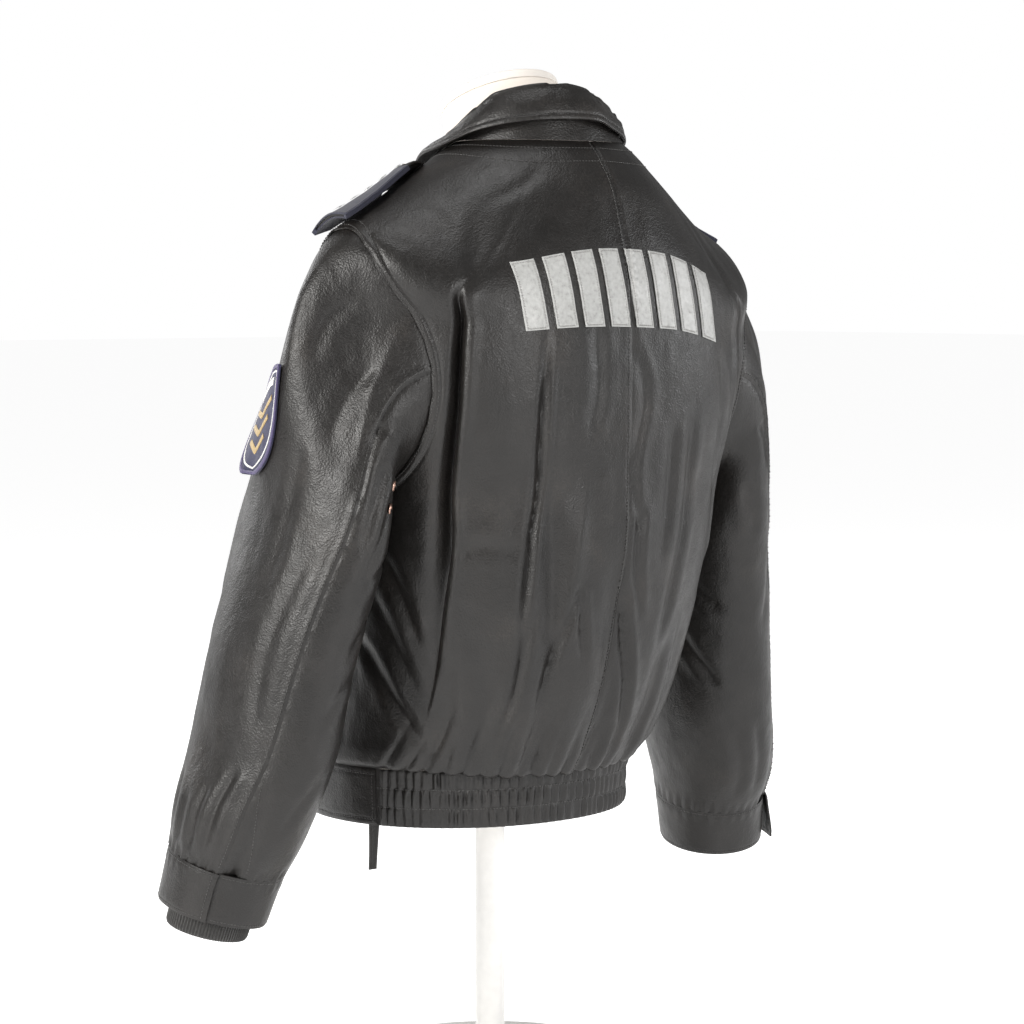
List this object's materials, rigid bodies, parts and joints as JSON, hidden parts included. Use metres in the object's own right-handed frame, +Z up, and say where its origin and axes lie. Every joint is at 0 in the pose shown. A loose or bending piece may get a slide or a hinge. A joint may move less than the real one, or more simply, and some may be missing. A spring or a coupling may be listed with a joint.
{
  "type": "police uniform jacket on a limbless dress form",
  "caption": "Black leather police blouson with turn-down collar, action pleats, elastic waistband and vented cuffs, closed and worn by a limbless dress form on a round stand.",
  "frame": {"origin": "centre of the underside of the stand's round base, on the floor", "axes": "+Z up along the pole, the wearer faces -Y, +X towards the wearer's left sleeve"},
  "size_m": [0.7556, 0.3849, 1.0245],
  "materials": {
    "black_leather": "satin, fine grain",
    "black_knit": "ribbed knit",
    "navy_cloth": "matt woven",
    "patch_cloth": "embroidered twill",
    "silver_metal": "polished",
    "copper_metal": "dull copper",
    "reflective_film": "silver-grey reflective film",
    "zip_chain_black": "moulded teeth on woven tape",
    "form_cream": "smooth jersey cover",
    "form_cap_cream": "smooth cover",
    "stand_white": "satin off-white"
  },
  "bodies": {
    "jacket_on_form": {"back_panel_left": "black_leather", "back_panel_right": "black_leather", "collar": "black_leather", "cuff_left": "black_leather", "cuff_right": "black_leather", "epaulette_button_left": "silver_metal", "epaulette_button_right": "silver_metal", "epaulette_strap_left": "black_leather", "epaulette_strap_right": "black_leather", "eyelet_left_1": "copper_metal", "eyelet_left_2": "copper_metal", "eyelet_right_1": "copper_metal", "eyelet_right_2": "copper_metal", "form_base": "stand_white", "form_neck_cap": "form_cap_cream", "form_pole": "stand_white", "form_torso": "form_cream", "front_panel_left": "black_leather", "front_panel_right": "black_leather", "front_strap_end": "black_leather", "knit_cuff_left": "black_knit", "knit_cuff_right": "black_knit", "rank_slide_left": "navy_cloth", "rank_slide_right": "navy_cloth", "reflective_bar_1": "reflective_film", "reflective_bar_2": "reflective_film", "reflective_bar_3": "reflective_film", "reflective_bar_4": "reflective_film", "reflective_bar_5": "reflective_film", "reflective_bar_6": "reflective_film", "reflective_bar_7": "reflective_film", "reflective_bar_8": "reflective_film", "sleeve_patch": "patch_cloth", "star_left_1": "silver_metal", "star_left_2": "silver_metal", "star_left_3": "silver_metal", "star_left_4": "silver_metal", "star_right_1": "silver_metal", "star_right_2": "silver_metal", "star_right_3": "silver_metal", "star_right_4": "silver_metal", "under_sleeve_left": "black_leather", "under_sleeve_right": "black_leather", "upper_sleeve_left": "black_leather", "upper_sleeve_right": "black_leather", "waistband_back": "black_leather", "waistband_left": "black_leather", "waistband_right": "black_leather", "zip_chain": "zip_chain_black", "zip_slider": "silver_metal"},
    "pull_tab": {"zip_pull": "silver_metal"}
  },
  "joints": [
    {"name": "pull_tab_swing", "type": "hinge", "parent": "jacket_on_form", "child": "pull_tab", "pos_m": [0, -0.02963, 0.88604], "axis": [1, 0, 0], "range_deg": [-70, 0]}
  ]
}
